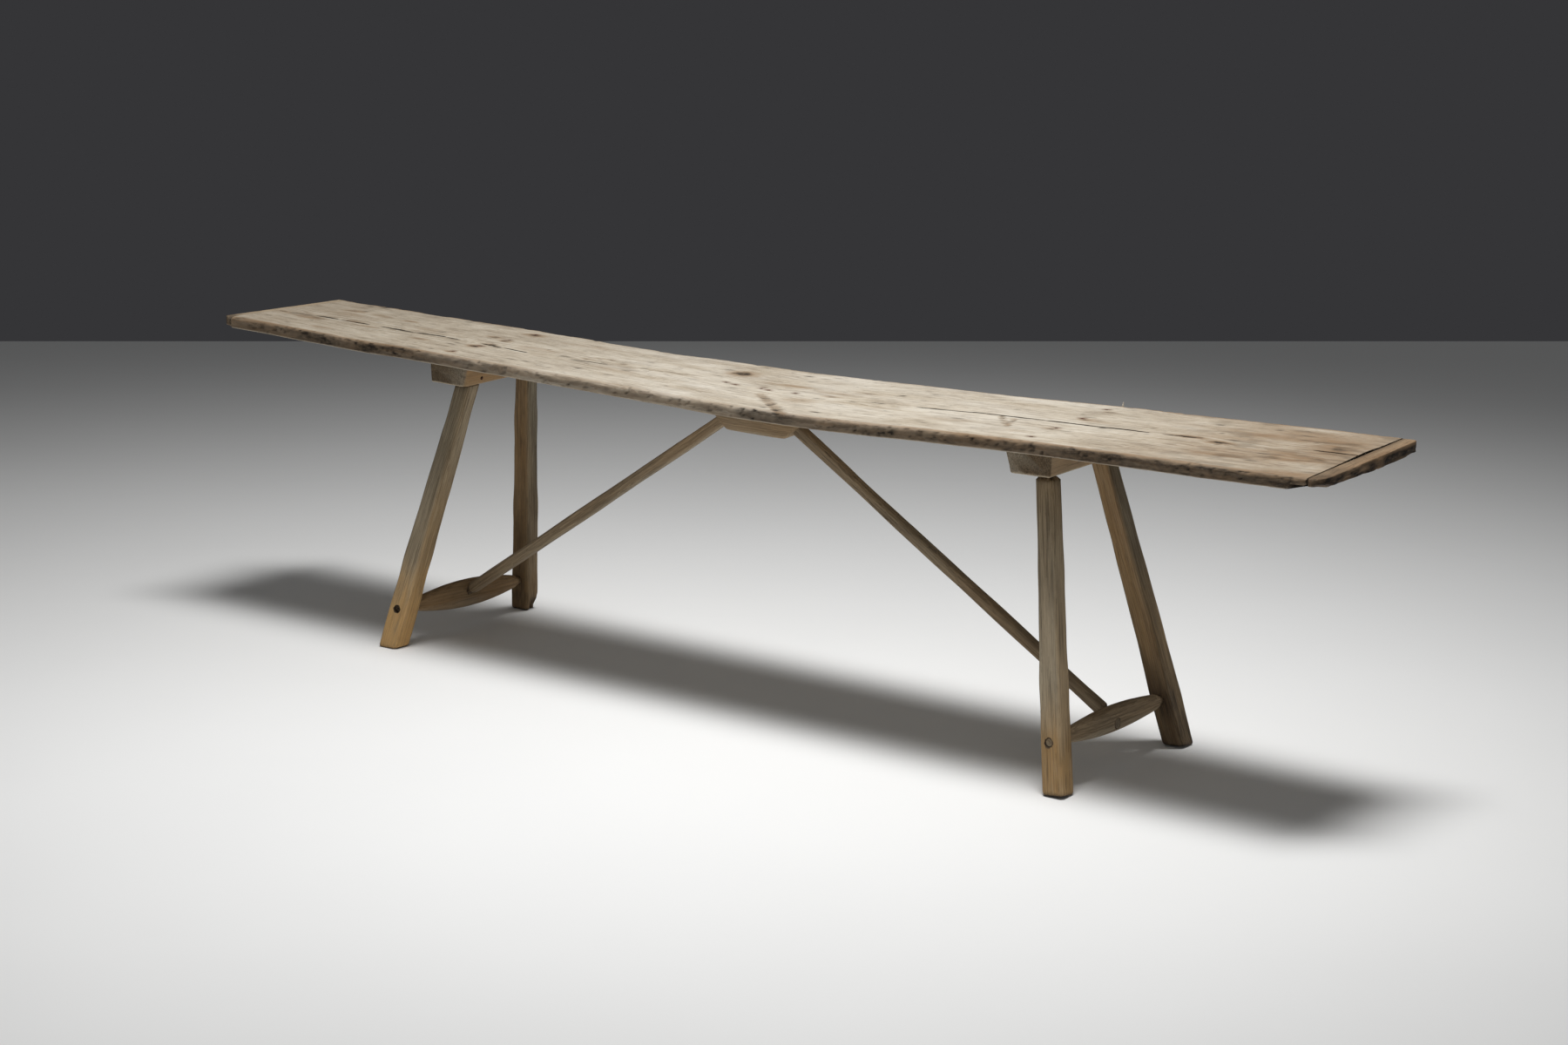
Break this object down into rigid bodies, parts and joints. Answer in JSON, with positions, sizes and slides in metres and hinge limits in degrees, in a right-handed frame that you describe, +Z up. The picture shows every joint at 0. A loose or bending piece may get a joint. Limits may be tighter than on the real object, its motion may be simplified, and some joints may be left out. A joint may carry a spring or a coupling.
{
  "type": "trestle console table",
  "caption": "Long narrow plank table: a sagged wide plank with clamped ends on staked splayed legs, with stretchers and diagonal braces to a block under its middle.",
  "frame": {"origin": "on the floor under the middle of the plank", "axes": "+X along the plank to the right end, +Y to the back, +Z up"},
  "size_m": [3.08, 0.5451, 0.752],
  "materials": {
    "plank_wood": "worn and sun-bleached",
    "clamp_wood": "worn",
    "frame_wood": "worn",
    "leg_wood": "worn",
    "nail_iron": "rusted"
  },
  "bodies": {
    "root": {"top_plank": "plank_wood", "end_clamp_left": "clamp_wood", "end_clamp_right": "clamp_wood", "batten_left": "frame_wood", "batten_right": "frame_wood", "leg_front_left": "leg_wood", "leg_front_right": "leg_wood", "leg_back_left": "leg_wood", "leg_back_right": "leg_wood", "stretcher_left": "frame_wood", "stretcher_right": "frame_wood", "brace_left": "frame_wood", "brace_right": "frame_wood", "centre_block": "frame_wood", "clamp_nails_left": "nail_iron", "clamp_nails_right": "nail_iron", "batten_nails_left": "nail_iron", "batten_nails_right": "nail_iron", "block_nails": "nail_iron", "leg_lock_nails_left": "nail_iron", "leg_lock_nails_right": "nail_iron"}
  },
  "joints": []
}
